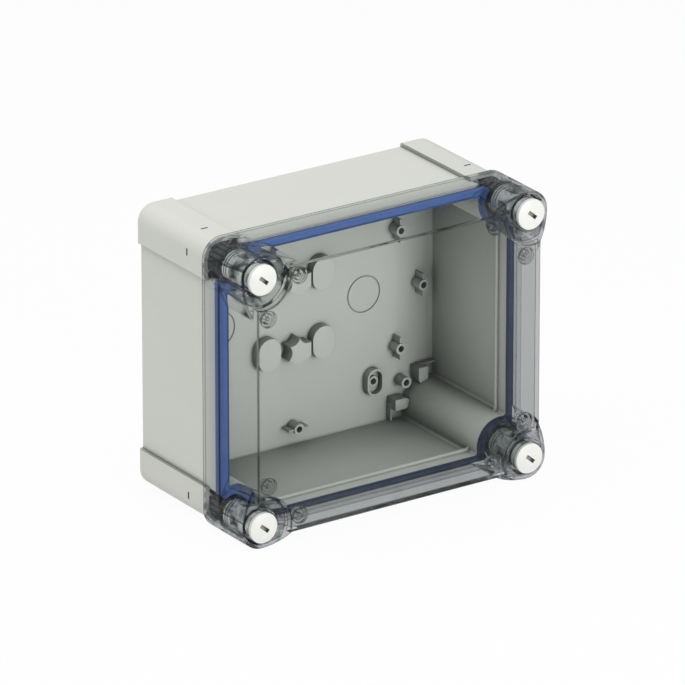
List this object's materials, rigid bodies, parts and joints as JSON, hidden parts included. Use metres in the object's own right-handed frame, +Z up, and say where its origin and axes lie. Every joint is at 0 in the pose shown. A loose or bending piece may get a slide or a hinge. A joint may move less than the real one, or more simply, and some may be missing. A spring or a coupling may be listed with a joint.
{
  "type": "hinged polycarbonate enclosure",
  "caption": "Grey moulded wall box with a deep clear cover, a blue rim seal, quarter-turn corner fasteners and side hinges, for housing electrical devices.",
  "frame": {"origin": "centre of the wall-fixing hole pattern, in the wall plane (the centre of the back at mid-height)", "axes": "+X to the right along the width, +Y towards the wall (the front faces -Y), +Z up"},
  "size_m": [0.3005, 0.163, 0.248],
  "materials": {
    "grey_housing": "fine moulded satin, light grey",
    "clear_polycarbonate": "polished, transparent",
    "blue_seal": "smooth soft seal, blue",
    "white_fastener": "satin, off-white",
    "dark_sleeve": "matt, near black",
    "black_seal": "matt black",
    "socket_brass": "turned",
    "hinge_grey": "satin, light grey",
    "hinge_steel": "plain"
  },
  "bodies": {
    "base": {"base_housing": "grey_housing", "rim_gasket": "blue_seal", "corner_insert_upper_left": "socket_brass", "corner_insert_upper_right": "socket_brass", "corner_insert_lower_left": "socket_brass", "corner_insert_lower_right": "socket_brass", "hinge_base_leaf_upper": "hinge_grey", "hinge_pin_upper": "hinge_steel", "hinge_base_leaf_lower": "hinge_grey", "hinge_pin_lower": "hinge_steel", "hinge_screws_base": "hinge_steel"},
    "cover": {"clear_cover": "clear_polycarbonate", "hinge_cover_leaf_upper": "hinge_grey", "hinge_cover_leaf_lower": "hinge_grey", "hinge_screws_cover": "hinge_steel"},
    "fastener_upper_left": {"fastener_body_upper_left": "white_fastener", "fastener_sleeve_upper_left": "dark_sleeve", "fastener_cap_upper_left": "white_fastener", "fastener_seal_upper_left": "black_seal"},
    "fastener_upper_right": {"fastener_body_upper_right": "white_fastener", "fastener_sleeve_upper_right": "dark_sleeve", "fastener_cap_upper_right": "white_fastener", "fastener_seal_upper_right": "black_seal"},
    "fastener_lower_left": {"fastener_body_lower_left": "white_fastener", "fastener_sleeve_lower_left": "dark_sleeve", "fastener_cap_lower_left": "white_fastener", "fastener_seal_lower_left": "black_seal"},
    "fastener_lower_right": {"fastener_body_lower_right": "white_fastener", "fastener_sleeve_lower_right": "dark_sleeve", "fastener_cap_lower_right": "white_fastener", "fastener_seal_lower_right": "black_seal"}
  },
  "joints": [
    {"name": "cover_hinge", "type": "hinge", "parent": "base", "child": "cover", "pos_m": [0.1505, -0.1, 0], "axis": [0, 0, 1], "range_deg": [0, 120]},
    {"name": "turn_upper_left", "type": "hinge", "parent": "cover", "child": "fastener_upper_left", "pos_m": [-0.128, -0.1574, 0.1051], "axis": [0, -1, 0], "range_deg": [0, 90]},
    {"name": "turn_upper_right", "type": "hinge", "parent": "cover", "child": "fastener_upper_right", "pos_m": [0.128, -0.1574, 0.1051], "axis": [0, -1, 0], "range_deg": [0, 90]},
    {"name": "turn_lower_left", "type": "hinge", "parent": "cover", "child": "fastener_lower_left", "pos_m": [-0.128, -0.1574, -0.1051], "axis": [0, -1, 0], "range_deg": [0, 90]},
    {"name": "turn_lower_right", "type": "hinge", "parent": "cover", "child": "fastener_lower_right", "pos_m": [0.128, -0.1574, -0.1051], "axis": [0, -1, 0], "range_deg": [0, 90]}
  ]
}
